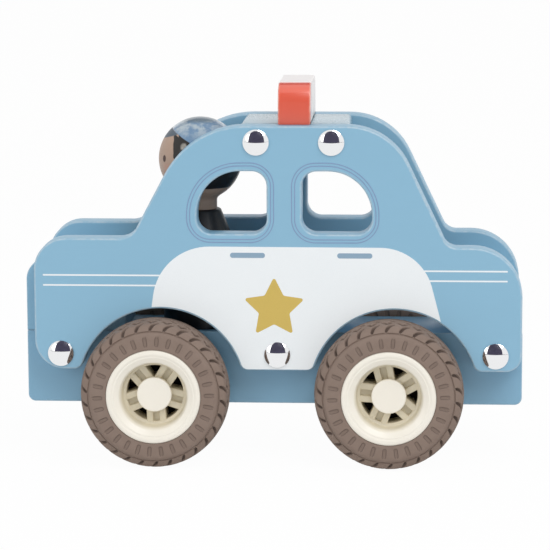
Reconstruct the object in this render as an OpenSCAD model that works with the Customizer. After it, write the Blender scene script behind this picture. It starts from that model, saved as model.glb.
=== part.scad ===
// Wooden toy police car with a lift-out peg driver, in millimetres.
// X runs from the nose (minus) to the tail (plus), Y across, Z up.
// The origin is on the ground under the middle of the car.

/* [Wheels] */
// Outside diameter of the tyres
wheel_d = 60; // [56:1:64]
// Width of the tyres
tyre_w = 21; // [18:0.5:24]
// Distance between the front and rear axles
wheelbase = 94; // [90:1:98]
// Gap between the chassis side and the inner face of the tyre
wheel_gap = 2.5; // [2:0.1:4]
// Diameter of the rim where the tyre is seated
rim_seat_d = 34; // [32:0.5:36]
// How far the rim lip stands above the tyre seat
rim_lip_h = 2; // [1:0.1:2.5]
// Width of the rim lip along the axle
rim_lip_w = 1.5; // [1:0.1:2]
// Diameter of the open mouth of the rim
rim_mouth_d = 26.6; // [24:0.2:28]
// Number of spoke pairs in a rim
spoke_pairs = 5; // [4:1:5]
// Width of one spoke
spoke_w = 2.4; // [2:0.1:2.5]
// Gap between the two spokes of a pair
spoke_slot = 2.4; // [1.6:0.1:3]
// Diameter of the hub caps
hub_cap_d = 14; // [12:0.5:16]
// Thickness of the hub caps
hub_cap_t = 2; // [1.5:0.1:3]
// How far the hub lies behind the front of the rim lip
hub_recess = 7.2; // [6:0.1:8]
// Depth of the spokes along the axle
spoke_t = 10; // [6:0.1:10.5]
// Depth of the slot between the two spokes of a pair
slot_t = 2; // [1:0.1:3]
// Number of tread grooves around one shoulder
tread_count = 30; // [20:1:32]
// Depth of the tread grooves
tread_depth = 1.2; // [0.6:0.1:1.6]
// Turn of the front wheels about their axle
front_turn = 57; // [0:1:72]
// Turn of the rear wheels about their axle
rear_turn = 31; // [0:1:72]

/* [Axles] */
// Diameter of the steel axles
axle_d = 4; // [3:0.5:5]
// Outside diameter of the axle bushes
bush_d = 8; // [7:0.5:9]
// Depth of a bush in the chassis
bush_l = 10; // [6:0.5:13]
// Flange diameter of the bushes
bush_flange_d = 12; // [10:0.5:14]
// Flange thickness of the bushes
bush_flange_t = 1.2; // [0.8:0.1:1.4]
// Radial running gap between axle and bush
running_gap = 0.05; // [0.03:0.01:0.09]
// End float between bush flange and wheel hub
end_float = 0.3; // [0.3:0.05:0.5]

/* [Chassis] */
// Reach of the chassis block beyond each axle
overhang = 53.5; // [52.5:0.5:56]
// Width of the chassis block, which sets the gap between the side panels
chassis_w = 37; // [35:0.5:42]
// Height of the chassis block
chassis_h = 29.5; // [27:0.5:32]
// Depth of the chassis underside below the axles
chassis_drop = 7; // [6:0.5:9]
// Rounding of the lower chassis corners
chassis_corner_r = 3; // [1:0.5:5]
// Length of the bonnet block
bonnet_l = 40.3; // [36:0.1:43]
// Height of the bonnet block
bonnet_h = 29.5; // [24:0.5:34]
// Rounding of the front top edge of the bonnet block
bonnet_r = 8.5; // [4:0.5:12]
// Length of the boot block
boot_l = 25.5; // [24.5:0.1:37]
// Height of the boot block
boot_block_h = 27; // [24:0.5:30]
// Rounding of the rear top edge of the boot block
boot_block_r = 18; // [10:0.5:20]
// Setback of the boot block from the chassis tail
boot_inset = 2.7; // [2:0.1:4]
// Diameter of the dowels that hold the bonnet and boot blocks
dowel_d = 8; // [6:0.5:10]
// Depth of these dowels in each block
dowel_bite = 10; // [8:0.5:12]
// Distance of the bonnet dowels from the chassis nose
dowel_inset = 24.5; // [22:0.5:26]
// Distance of the boot dowels from the front of the boot block
boot_dowel_inset = 6.7; // [6:0.1:8]
// Sideways offset of these dowels
dowel_y = 7; // [6:0.5:9]

/* [Side panels] */
// Mean setback of the side panels from the chassis ends
panel_setback = 2.5; // [2.2:0.1:4]
// How far the side panels are set towards the tail
panel_shift = 2; // [0:0.1:2.1]
// Thickness of the side panels
panel_t = 10; // [8:0.5:12]
// Height of the lower panel edge above the axles
panel_lift = 8.5; // [7:0.5:10]
// Height of the bonnet line above the lower panel edge
hood_h = 53.4; // [50:0.2:54.5]
// Height of the roof above the lower panel edge
roof_h = 98.8; // [97:0.2:102]
// Height of the boot line above the lower panel edge
boot_h = 50.2; // [47:0.2:52]
// Distance of the windscreen foot from the front edge
screen_foot = 39.3; // [37:0.1:41]
// Slope of the windscreen
screen_angle = 62; // [60:0.5:64]
// Distance of the rear screen foot from the rear edge
rear_foot = 29.8; // [27:0.2:31]
// Slope of the rear screen
rear_angle = 64.5; // [62:0.5:68]
// Rounding of the front edge of the roof
roof_front_r = 37; // [32:0.5:38]
// Rounding of the rear edge of the roof
roof_rear_r = 27.4; // [24:0.2:29]
// Rounding at the foot of the windscreen
screen_foot_r = 8; // [4:0.5:10]
// Rounding at the foot of the rear screen
rear_foot_r = 6; // [3:0.5:8]
// Rounding of the bonnet nose
nose_r = 13; // [8:0.5:18]
// Rounding of the boot tail
tail_r = 20; // [14:0.5:20.5]
// Rounding of the lower front corner
front_low_r = 12; // [6:0.5:13]
// Rounding of the lower rear corner
rear_low_r = 6.5; // [4:0.5:10]
// Gap between tyre and wheel arch
arch_gap = 3.5; // [3:0.1:4.5]
// Rounding where a wheel arch meets the lower edge
arch_corner_r = 3.5; // [2:0.5:4]

/* [Windows] */
// Width of a window
window_w = 28; // [24:0.5:29]
// Height of a window
window_h = 25.2; // [21:0.2:27]
// Height of the window sill above the lower panel edge
window_sill = 55.5; // [54:0.5:57]
// Width of the post between the windows
window_post = 14; // [10:0.5:18]
// Position of the post along the panel, from its middle
window_mid = 2.9; // [1:0.1:5]
// Rounding of the sloping upper window corner
window_sweep_r = 17.5; // [8:0.5:18]
// Rounding of the other window corners
window_r = 6; // [3:0.5:6.5]

/* [Roof and light bar] */
// Length of the roof block
roof_block_l = 44; // [40:0.5:46]
// Height of the roof block
roof_block_h = 13.7; // [12.5:0.1:14.5]
// Rounding of the top edges at the ends of the roof block
roof_block_r = 2; // [1:0.5:4]
// Size of the light bar along the car
light_w = 13; // [10:0.5:16]
// Height of the light bar
light_h = 16.3; // [15:0.1:20]
// How far the light bar reaches over each side panel
light_lap = 5; // [3:0.5:7]
// Rounding of the outer ends of the light bar
light_r = 7.6; // [3:0.2:7.8]
// Width of the red end of the light bar
light_red_w = 8; // [7.8:0.2:10]
// Diameter of the dowels that hold the lights
light_dowel_d = 5; // [4:0.5:6]
// Depth of these dowels in the roof block and in the white light
light_dowel_bite = 8; // [6:0.5:8.5]
// Sideways offset of the upright dowels
light_dowel_y = 9; // [7:0.5:12]
// Depth of the level dowel in the red light and in the white light
red_dowel_bite = 4.5; // [3:0.5:5]

/* [Screws] */
// Diameter of the domed screw heads
screw_head_d = 10.4; // [9:0.2:11]
// Height of the domed screw heads
screw_head_h = 2.3; // [1.8:0.1:3]
// Diameter of the screw shanks
screw_d = 4; // [3:0.5:4.5]
// Depth of the screws in the blocks
screw_bite = 12; // [8:0.5:13]
// Radial gap between screw and panel hole
screw_gap = 0.2; // [0.1:0.05:0.4]
// Depth of the lower screws below the chassis top
screw_drop = 7.5; // [7:0.5:8]
// Distance between the roof screws
roof_screw_pitch = 30; // [26:0.5:32]
// Depth of the roof screws below the roof
roof_screw_drop = 6.5; // [6:0.1:7]

/* [Driver] */
// Gap between the bonnet block and the driver's body
driver_gap = 13.9; // [12:0.1:15]
// Gap between the driver's head and each side panel
head_gap = 1.5; // [0.6:0.1:2]
// Gap between the driver's body and each side panel
body_gap = 3; // [2.2:0.1:4]
// Height of the body above the chassis
body_h = 48; // [45:0.5:49]
// Height of the centre of the head above the body
head_lift = 20.5; // [18:0.5:22]
// Height of the sloping shoulders
shoulder_h = 26; // [20:0.5:32]
// Diameter of the top of the body
collar_d = 17; // [15:0.5:19]
// Diameter of the neck
neck_d = 13.4; // [11:0.2:14]
// Diameter of the peg that holds the head
head_peg_d = 8; // [6:0.5:9]
// Length of the peg that holds the head
head_peg_l = 12; // [8:0.5:16]
// Depth of the round seat in the chassis
seat_depth = 3; // [2:0.5:4]
// Radial gap between the driver and the seat
seat_gap = 0.4; // [0.3:0.05:0.6]
// Gap between the head and the roof block
head_clear = 0.5; // [0.4:0.1:1.5]

/* [Hidden] */
$fn = 96;
body_steps = 12;

axle_z = wheel_d / 2;
front_x = -wheelbase / 2;
rear_x = wheelbase / 2;
chassis_l = wheelbase + 2 * overhang;
panel_l = chassis_l - 2 * panel_setback;
bonnet_dowel_x = dowel_inset - chassis_l / 2;
boot_dowel_x = chassis_l / 2 - boot_inset - boot_l + boot_dowel_inset;
chassis_z0 = axle_z - chassis_drop;
chassis_z1 = chassis_z0 + chassis_h;
panel_in = chassis_w / 2;
panel_out = panel_in + panel_t;
panel_z = axle_z + panel_lift;
hood_z = panel_z + hood_h;
boot_z = panel_z + boot_h;
roof_z = panel_z + roof_h;
arch_r = wheel_d / 2 + arch_gap;

tyre_half = tyre_w / 2;
wheel_mid = panel_in + wheel_gap + tyre_half;
rim_seat_r = rim_seat_d / 2;
rim_lip_r = rim_seat_r + rim_lip_h;
rim_mouth_r = rim_mouth_d / 2;
bead_w = tyre_half - 1;
lip_front = bead_w + rim_lip_w;
hub_r = hub_cap_d / 2 - 0.4;
hub_front = lip_front - hub_recess;
hub_back = -(tyre_half + wheel_gap - bush_flange_t - end_float);
axle_end = hub_front - 2;
spoke_front = hub_front - 1.2;
web_back = spoke_front - spoke_t;
web_front = spoke_front - slot_t;
pair_w = 2 * spoke_w + spoke_slot;

head_d = chassis_w - 2 * head_gap;
body_r = panel_in - body_gap;
seat_z = chassis_z1 - seat_depth;
body_z = chassis_z1 + body_h;
head_z = body_z + head_lift;
driver_x = bonnet_l + driver_gap + body_r - chassis_l / 2;

roof_front = driver_x + head_d / 2 + head_clear;
roof_mid = roof_front + roof_block_l / 2;
roof_base = roof_z - roof_block_h;
light_half = panel_in + light_lap;
light_seam = light_red_w - light_half;
light_end_r = min(light_r, light_red_w - 0.2);
light_dowel_z = roof_z + light_dowel_bite + light_dowel_d / 2 + 0.8;

// The outer screws are midway between a wheel arch and the end of the panel
screw_low_z = chassis_z1 - screw_drop;
arch_edge_x = rear_x + sqrt(pow(arch_r, 2) - pow(screw_low_z - axle_z, 2));
screw_end = (arch_edge_x + panel_l / 2) / 2;
screw_high_z = roof_z - roof_screw_drop;
low_screws = [
    [panel_shift - screw_end, screw_low_z],
    [panel_shift, screw_low_z],
    [panel_shift + screw_end, screw_low_z]
];
high_screws = [
    [roof_mid - roof_screw_pitch / 2, screw_high_z],
    [roof_mid + roof_screw_pitch / 2, screw_high_z]
];

body_blue = [0.56, 0.72, 0.82];
cream = [0.93, 0.91, 0.86];
rubber_brown = [0.52, 0.44, 0.40];
steel = [0.75, 0.76, 0.78];
nylon = [0.9, 0.9, 0.88];
beech = [0.85, 0.70, 0.50];
skin = [0.90, 0.78, 0.68];
navy = [0.13, 0.19, 0.27];

// Points on an arc from angle a0 to a1 about c, closer together on a larger arc
function arc_points(c, r, a0, a1) =
    let (n = max(4, ceil(abs(a1 - a0) * sqrt(r) / 30)))
    [
        for (i = [0 : n])
            c + r * [cos(a0 + (a1 - a0) * i / n), sin(a0 + (a1 - a0) * i / n)]
    ];

// The same points without the first and the last
function inner_points(points) = [for (i = [1 : len(points) - 2]) points[i]];

function unit(v) = v / norm(v);

// Angle from a to b by the shorter way
function turn(a, b) = ((b - a + 540) % 360) - 180;

// Arc that rounds the corner p between the points before and after it
function corner_points(before, p, after, r) =
    let (
        u = unit(before - p),
        v = unit(after - p),
        half = acos(u * v) / 2,
        c = p + unit(u + v) * r / sin(half),
        s = p + u * r / tan(half) - c,
        e = p + v * r / tan(half) - c,
        a0 = atan2(s[1], s[0])
    )
    arc_points(c, r, a0, a0 + turn(a0, atan2(e[1], e[0])));

// Outline through corners given as [x, y, radius], where radius 0 keeps the point
function outline(k) =
    let (n = len(k))
    [
        for (i = [0 : n - 1])
            let (
                p = [k[i][0], k[i][1]],
                b = [k[(i + n - 1) % n][0], k[(i + n - 1) % n][1]],
                a = [k[(i + 1) % n][0], k[(i + 1) % n][1]]
            )
            each (k[i][2] > 0 ? corner_points(b, p, a, k[i][2]) : [p])
    ];

foot_rise = panel_lift + arch_corner_r;
foot_run = sqrt(pow(arch_r + arch_corner_r, 2) - pow(foot_rise, 2));
foot_lean = atan2(foot_rise, foot_run);
foot_z = panel_z + arch_corner_r;

// Wheel arch about x, with rounded feet on the lower panel edge
function arch_points(x) =
    concat(
        arc_points([x - foot_run, foot_z], arch_corner_r, -90, -foot_lean),
        inner_points(arc_points([x, axle_z], arch_r, 180 - foot_lean, foot_lean)),
        arc_points([x + foot_run, foot_z], arch_corner_r, 180 + foot_lean, 270)
    );

function plain(points) = [for (p = points) [p[0], p[1], 0]];

panel_front = panel_shift - panel_l / 2;
panel_rear = panel_shift + panel_l / 2;
low_corner_room = panel_l / 2 - rear_x - foot_run;
screen_x = panel_front + screen_foot;
rear_screen_x = panel_rear - rear_foot;
panel_points = outline(concat(
    [[panel_front, panel_z, min(front_low_r, low_corner_room)]],
    plain(arch_points(panel_shift + front_x)),
    plain(arch_points(panel_shift + rear_x)),
    [
        [panel_rear, panel_z, min(rear_low_r, low_corner_room)],
        [panel_rear, boot_z, tail_r],
        [rear_screen_x, boot_z, rear_foot_r],
        [rear_screen_x - (roof_z - boot_z) / tan(rear_angle), roof_z, roof_rear_r],
        [screen_x + (roof_z - hood_z) / tan(screen_angle), roof_z, roof_front_r],
        [screen_x, hood_z, screen_foot_r],
        [panel_front, hood_z, nose_r]
    ]
));

// Window beside the post, on the side towards the nose (-1) or the tail (1)
function window_points(way) =
    let (
        x0 = panel_shift + window_mid + way * window_post / 2,
        x1 = x0 + way * window_w,
        z0 = panel_z + window_sill,
        z1 = z0 + window_h
    )
    outline([
        [x0, z0, window_r],
        [x1, z0, window_r],
        [x1, z1, window_sweep_r],
        [x0, z1, window_r]
    ]);

// Board with an X-Z outline between two places across the car
module board(y0, y1) {
    translate([0, y1, 0])
        rotate([90, 0, 0])
            linear_extrude(y1 - y0) children();
}

// Frame on one side of the car with its third axis outwards
module outwards(x, y, z, side) {
    translate([x, side * y, z])
        rotate([-90 * side, 0, 0]) children();
}

module side_panel(side) {
    color(body_blue)
    difference() {
        board(side < 0 ? -panel_out : panel_in, side < 0 ? -panel_in : panel_out)
            difference() {
                polygon(panel_points);
                polygon(window_points(-1));
                polygon(window_points(1));
            }
        for (p = concat(low_screws, high_screws))
            outwards(p[0], panel_in - 1, p[1], side)
                cylinder(h = panel_t + 2, r = screw_d / 2 + screw_gap);
    }
}

module left_side_panel() {
    side_panel(-1);
}

module right_side_panel() {
    side_panel(1);
}

module screw() {
    dome_r = (pow(screw_head_d / 2, 2) + pow(screw_head_h, 2)) / (2 * screw_head_h);
    intersection() {
        translate([0, 0, screw_head_h - dome_r]) sphere(r = dome_r);
        translate([-dome_r, -dome_r, 0]) cube([2 * dome_r, 2 * dome_r, screw_head_h + 1]);
    }
    translate([0, 0, -panel_t - screw_bite])
        cylinder(h = panel_t + screw_bite, d = screw_d);
}

module panel_screws(side) {
    color(steel)
    for (p = concat(low_screws, high_screws))
        outwards(p[0], panel_out, p[1], side) screw();
}

module left_panel_screws() {
    panel_screws(-1);
}

module right_panel_screws() {
    panel_screws(1);
}

module block_dowel_places() {
    for (y = [-dowel_y, dowel_y])
        translate([0, y, chassis_z1 - dowel_bite]) children();
}

module chassis_block() {
    half = chassis_l / 2;
    color(body_blue)
    difference() {
        board(-panel_in, panel_in)
            polygon(outline([
                [-half, chassis_z0, chassis_corner_r],
                [half, chassis_z0, chassis_corner_r],
                [half, chassis_z1, 0],
                [-half, chassis_z1, 0]
            ]));
        for (x = [front_x, rear_x]) {
            translate([x, -panel_in - 1, axle_z])
                rotate([-90, 0, 0]) cylinder(h = chassis_w + 2, r = axle_d / 2 + 0.6);
            for (side = [-1, 1])
                outwards(x, panel_in - bush_l, axle_z, side)
                    cylinder(h = bush_l + 1, d = bush_d);
        }
        for (p = low_screws)
            for (side = [-1, 1])
                outwards(p[0], panel_in - screw_bite, p[1], side)
                    cylinder(h = screw_bite + 1, d = screw_d);
        for (x = [bonnet_dowel_x, boot_dowel_x])
            translate([x, 0, 0]) block_dowel_places() cylinder(h = dowel_bite + 1, d = dowel_d);
        translate([driver_x, 0, seat_z])
            cylinder(h = seat_depth + 1, r = body_r + seat_gap);
    }
}

module bonnet_block() {
    front = -chassis_l / 2;
    color(body_blue)
    difference() {
        board(-panel_in, panel_in)
            polygon(outline([
                [front, chassis_z1, 0],
                [front + bonnet_l, chassis_z1, 0],
                [front + bonnet_l, chassis_z1 + bonnet_h, 2],
                [front, chassis_z1 + bonnet_h, bonnet_r]
            ]));
        translate([bonnet_dowel_x, 0, -1]) block_dowel_places() cylinder(h = 2 * dowel_bite + 1, d = dowel_d);
    }
}

module boot_block() {
    rear = chassis_l / 2 - boot_inset;
    color(body_blue)
    difference() {
        board(-panel_in, panel_in)
            polygon(outline([
                [rear - boot_l, chassis_z1, 0],
                [rear, chassis_z1, 0],
                [rear, chassis_z1 + boot_block_h, boot_block_r],
                [rear - boot_l, chassis_z1 + boot_block_h, 2]
            ]));
        translate([boot_dowel_x, 0, -1]) block_dowel_places() cylinder(h = 2 * dowel_bite + 1, d = dowel_d);
    }
}

module bonnet_dowels() {
    color(beech)
    translate([bonnet_dowel_x, 0, 0]) block_dowel_places() cylinder(h = 2 * dowel_bite, d = dowel_d);
}

module boot_dowels() {
    color(beech)
    translate([boot_dowel_x, 0, 0]) block_dowel_places() cylinder(h = 2 * dowel_bite, d = dowel_d);
}

module light_dowel_places() {
    for (y = [-light_dowel_y, light_dowel_y])
        translate([roof_mid, y, roof_z - light_dowel_bite]) children();
}

module roof_block() {
    color(body_blue)
    difference() {
        board(-panel_in, panel_in)
            polygon(outline([
                [roof_front, roof_base, 0],
                [roof_front + roof_block_l, roof_base, 0],
                [roof_front + roof_block_l, roof_z, roof_block_r],
                [roof_front, roof_z, roof_block_r]
            ]));
        for (p = high_screws)
            for (side = [-1, 1])
                outwards(p[0], panel_in - screw_bite, p[1], side)
                    cylinder(h = screw_bite + 1, d = screw_d);
        light_dowel_places() cylinder(h = light_dowel_bite + 1, d = light_dowel_d);
    }
}

// Dowel across the seam between the red and the white light
module level_dowel() {
    translate([roof_mid, light_seam - red_dowel_bite, light_dowel_z])
        rotate([-90, 0, 0]) cylinder(h = 2 * red_dowel_bite, d = light_dowel_d);
}

module light_dowels() {
    color(beech) {
        light_dowel_places() cylinder(h = 2 * light_dowel_bite, d = light_dowel_d);
        level_dowel();
    }
}

// Part of the light bar from the seam to the outer end on one side, which is rounded on top
module light(side) {
    difference() {
        translate([roof_mid - light_w / 2, 0, roof_z])
            rotate([90, 0, 90])
                linear_extrude(light_w)
                    polygon(outline([
                        [light_seam, 0, 0],
                        [side * light_half, 0, 0],
                        [side * light_half, light_h, light_end_r],
                        [light_seam, light_h, 0]
                    ]));
        level_dowel();
        translate([0, 0, -1])
            light_dowel_places() cylinder(h = 2 * light_dowel_bite + 1, d = light_dowel_d);
    }
}

module light_bar_red() {
    color([0.86, 0.39, 0.31]) light(-1);
}

module light_bar_white() {
    color([0.95, 0.94, 0.93]) light(1);
}

module axle(x) {
    color(steel)
    translate([x, -wheel_mid - axle_end, axle_z])
        rotate([-90, 0, 0]) cylinder(h = 2 * (wheel_mid + axle_end), d = axle_d);
}

module front_axle() {
    axle(front_x);
}

module rear_axle() {
    axle(rear_x);
}

module bush(x, side) {
    color(nylon)
    outwards(x, panel_in, axle_z, side)
        difference() {
            union() {
                translate([0, 0, -bush_l]) cylinder(h = bush_l, d = bush_d);
                cylinder(h = bush_flange_t, d = bush_flange_d);
            }
            translate([0, 0, -bush_l - 1])
                cylinder(h = bush_l + bush_flange_t + 2, r = axle_d / 2 + running_gap);
        }
}

module front_left_bush() {
    bush(front_x, -1);
}

module front_right_bush() {
    bush(front_x, 1);
}

module rear_left_bush() {
    bush(rear_x, -1);
}

module rear_right_bush() {
    bush(rear_x, 1);
}

module tread_grooves() {
    r = wheel_d / 2;
    for (i = [0 : tread_count - 1])
        for (way = [-1, 1])
            rotate([0, 0, 360 / tread_count * (i + way * 0.25)])
                translate([r, 0, way * (tyre_half - 5)])
                    rotate([way * 40, 0, 0])
                        cube([2 * tread_depth, 1.2, 6], center = true);
}

module tyre(x, side) {
    r = wheel_d / 2;
    h = tyre_half;
    s = rim_lip_r + 0.1;
    color(rubber_brown)
    outwards(x, wheel_mid, axle_z, side)
        difference() {
            rotate_extrude()
                polygon(outline([
                    [rim_seat_r, -bead_w, 0],
                    [s, -bead_w, 0],
                    [s + 0.5, -h, 0.4],
                    [r - 6, -h, 4],
                    [r - 3.6, -h + 1.6, 0],
                    [r - 0.4, -h + 2.2, 1.8],
                    [r, -2, 12],
                    [r, 2, 12],
                    [r - 0.4, h - 2.2, 1.8],
                    [r - 3.6, h - 1.6, 0],
                    [r - 6, h, 4],
                    [s + 0.5, h, 0.4],
                    [s, bead_w, 0],
                    [rim_seat_r, bead_w, 0]
                ]));
            tread_grooves();
        }
}

module front_left_tyre() {
    tyre(front_x, -1);
}

module front_right_tyre() {
    tyre(front_x, 1);
}

module rear_left_tyre() {
    tyre(rear_x, -1);
}

module rear_right_tyre() {
    tyre(rear_x, 1);
}

// One pair of spokes with the shallow floor between them
module spoke_pair() {
    reach = rim_mouth_r + 1 - hub_r / 2;
    translate([hub_r / 2, -pair_w / 2, web_back])
        cube([reach, pair_w, web_front - web_back]);
    for (y = [-pair_w / 2, pair_w / 2 - spoke_w])
        translate([hub_r / 2, y, web_back])
            cube([reach, spoke_w, spoke_front - web_back]);
}

module rim(x, side, turned) {
    color(cream)
    outwards(x, wheel_mid, axle_z, side)
        difference() {
            union() {
                rotate_extrude()
                    polygon(outline([
                        [rim_mouth_r, lip_front - 3, 0.8],
                        [rim_mouth_r - 0.3, web_back - 0.6, 0],
                        [rim_mouth_r + 1.4, web_back - 2.2, 0],
                        [rim_mouth_r + 1.4, -tyre_half, 0],
                        [rim_lip_r - 0.6, -tyre_half, 0.4],
                        [rim_lip_r - 0.6, -bead_w, 0],
                        [rim_seat_r, -bead_w, 0],
                        [rim_seat_r, bead_w, 0],
                        [rim_lip_r, bead_w, 0],
                        [rim_lip_r, lip_front, 1],
                        [rim_seat_r - 0.6, lip_front, 1]
                    ]));
                translate([0, 0, hub_back]) cylinder(h = hub_front - hub_back, r = hub_r);
                for (i = [0 : spoke_pairs - 1])
                    rotate([0, 0, turned + 360 / spoke_pairs * i]) spoke_pair();
            }
            translate([0, 0, hub_back - 1])
                cylinder(h = hub_front - hub_back + 2, d = axle_d);
        }
}

module front_left_rim() {
    rim(front_x, -1, front_turn);
}

module front_right_rim() {
    rim(front_x, 1, front_turn);
}

module rear_left_rim() {
    rim(rear_x, -1, rear_turn);
}

module rear_right_rim() {
    rim(rear_x, 1, rear_turn);
}

module hub_cap(x, side) {
    color(cream)
    outwards(x, wheel_mid, axle_z, side) {
        translate([0, 0, hub_front])
            rotate_extrude()
                polygon(outline([
                    [0, 0, 0],
                    [hub_cap_d / 2, 0, 0],
                    [hub_cap_d / 2, hub_cap_t, 0.5],
                    [0, hub_cap_t, 0]
                ]));
        translate([0, 0, axle_end + 0.2])
            cylinder(h = hub_front - axle_end, d = axle_d);
    }
}

module front_left_hub_cap() {
    hub_cap(front_x, -1);
}

module front_right_hub_cap() {
    hub_cap(front_x, 1);
}

module rear_left_hub_cap() {
    hub_cap(rear_x, -1);
}

module rear_right_hub_cap() {
    hub_cap(rear_x, 1);
}

// Half section of the driver's body, from the seat up to the collar
body_points = concat(
    [
        [0, seat_z],
        [body_r - 1, seat_z],
        [body_r, seat_z + 1]
    ],
    [
        for (i = [0 : body_steps])
            [
                collar_d / 2 + (body_r - collar_d / 2) * cos(90 * i / body_steps),
                body_z - 1 - shoulder_h * (1 - i / body_steps)
            ]
    ],
    [
        [collar_d / 2 - 1, body_z],
        [0, body_z]
    ]
);

module driver_body() {
    color(navy)
    translate([driver_x, 0, 0])
        difference() {
            rotate_extrude() polygon(body_points);
            translate([0, 0, body_z - head_peg_l])
                cylinder(h = head_peg_l + 1, d = head_peg_d);
        }
}

module driver_head() {
    color(skin)
    translate([driver_x, 0, 0]) {
        translate([0, 0, head_z]) sphere(d = head_d);
        translate([0, 0, body_z]) cylinder(h = head_z - body_z, d = neck_d);
        translate([0, 0, body_z - head_peg_l]) cylinder(h = head_peg_l + 1, d = head_peg_d);
    }
}

chassis_block();
bonnet_block();
boot_block();
bonnet_dowels();
boot_dowels();
left_side_panel();
right_side_panel();
left_panel_screws();
right_panel_screws();
roof_block();
light_dowels();
light_bar_red();
light_bar_white();
front_axle();
rear_axle();
front_left_bush();
front_right_bush();
rear_left_bush();
rear_right_bush();
front_left_rim();
front_right_rim();
rear_left_rim();
rear_right_rim();
front_left_tyre();
front_right_tyre();
rear_left_tyre();
rear_right_tyre();
front_left_hub_cap();
front_right_hub_cap();
rear_left_hub_cap();
rear_right_hub_cap();
driver_body();
driver_head();
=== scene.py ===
import math

import bmesh
import bpy
import numpy as np
from mathutils import Matrix, Vector
from mathutils.geometry import tessellate_polygon


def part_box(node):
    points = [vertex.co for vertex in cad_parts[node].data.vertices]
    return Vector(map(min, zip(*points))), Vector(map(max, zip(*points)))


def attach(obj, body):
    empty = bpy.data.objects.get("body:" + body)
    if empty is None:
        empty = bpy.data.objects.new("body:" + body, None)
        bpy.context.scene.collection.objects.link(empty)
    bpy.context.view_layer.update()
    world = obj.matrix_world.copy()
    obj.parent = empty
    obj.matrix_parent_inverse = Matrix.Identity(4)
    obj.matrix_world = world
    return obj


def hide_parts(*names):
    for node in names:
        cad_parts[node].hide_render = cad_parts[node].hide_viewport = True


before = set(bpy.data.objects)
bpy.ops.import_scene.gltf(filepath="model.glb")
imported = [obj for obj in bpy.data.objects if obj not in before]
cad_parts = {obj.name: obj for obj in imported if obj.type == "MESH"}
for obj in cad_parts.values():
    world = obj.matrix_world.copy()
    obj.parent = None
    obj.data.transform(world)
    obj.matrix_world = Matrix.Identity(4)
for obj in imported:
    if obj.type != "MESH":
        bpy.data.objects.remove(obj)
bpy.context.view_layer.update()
scene = bpy.context.scene
mm = 0.001
sides = ((-1, "left"), (1, "right"))
print("frame loaded:", len(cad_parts), "nodes")


# finishes

def paint(*shades):   # a colour as seen on screen, 0 to 255, in linear light
    linear = [v / 255 / 12.92 if v < 10.4 else ((v / 255 + 0.055) / 1.055) ** 2.4 for v in shades]
    return tuple(linear) + (1.0,)


class Wire:   # a socket that can be used in sums
    def __init__(self, finish, socket):
        self.finish = finish
        self.socket = socket

    def work(self, operation, *values):
        return self.finish.node("ShaderNodeMath", {"operation": operation}, values)

    def __add__(self, other):
        return self.work("ADD", self, other)

    def __radd__(self, other):
        return self.work("ADD", other, self)

    def __sub__(self, other):
        return self.work("SUBTRACT", self, other)

    def __rsub__(self, other):
        return self.work("SUBTRACT", other, self)

    def __mul__(self, other):
        return self.work("MULTIPLY", self, other)

    def __rmul__(self, other):
        return self.work("MULTIPLY", other, self)

    def __pow__(self, other):
        return self.work("POWER", self, other)

    def __abs__(self):
        return self.work("ABSOLUTE", self)

    def most(self, other):   # the larger of the two
        return self.work("MAXIMUM", self, other)

    def least(self, other):   # the smaller of the two
        return self.work("MINIMUM", self, other)

    def over(self, edge, soft):   # 0 below the edge, 1 above it
        return self.finish.node("ShaderNodeMapRange", {"interpolation_type": "SMOOTHSTEP"},
                                {"Value": self, "From Min": edge - soft, "From Max": edge + soft})


class Finish:   # one material and its shader
    def __init__(self, name, **sockets):
        self.material = bpy.data.materials.new(name)
        self.material.use_nodes = True
        self.tree = self.material.node_tree
        self.shader = self.tree.nodes["Principled BSDF"]
        for key, value in sockets.items():
            self.shader.inputs[key.replace("_", " ")].default_value = value

    def node(self, kind, settings=None, values=(), out=0):
        made = self.tree.nodes.new(kind)
        for key, value in (settings or {}).items():
            setattr(made, key, value)
        for key, value in (values.items() if isinstance(values, dict) else enumerate(values)):
            if isinstance(value, Wire):
                self.tree.links.new(value.socket, made.inputs[key])
            else:
                made.inputs[key].default_value = value
        return Wire(self, made.outputs[out])

    def outputs(self, kind, names, values=()):   # several sockets of one node
        made = self.node(kind, None, values).socket.node
        return [Wire(self, made.outputs[name]) for name in names]

    def layer(self, name):   # a value kept on the points of the mesh
        return self.node("ShaderNodeAttribute", {"attribute_name": name}, out="Fac")

    def feed(self, socket, wire):
        self.tree.links.new(wire.socket, self.shader.inputs[socket])

    def place(self, scale=(1, 1, 1), shift=(0, 0, 0)):
        spot = self.node("ShaderNodeTexCoord", out="Object")
        return self.node("ShaderNodeMapping", None, {"Vector": spot, "Location": shift, "Scale": scale})

    def cloud(self, where, scale, detail=3.0, rough=0.5):
        return self.node("ShaderNodeTexNoise", None,
                         {"Vector": where, "Scale": scale, "Detail": detail, "Roughness": rough})

    def mix(self, amount, first, second):
        return self.node("ShaderNodeMix", {"data_type": "RGBA"}, {0: amount, 6: first, 7: second}, out=2)

    def bump(self, height, strength, distance):
        self.feed("Normal", self.node("ShaderNodeBump", None,
                                      {"Strength": strength, "Distance": distance, "Height": height}))


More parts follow.
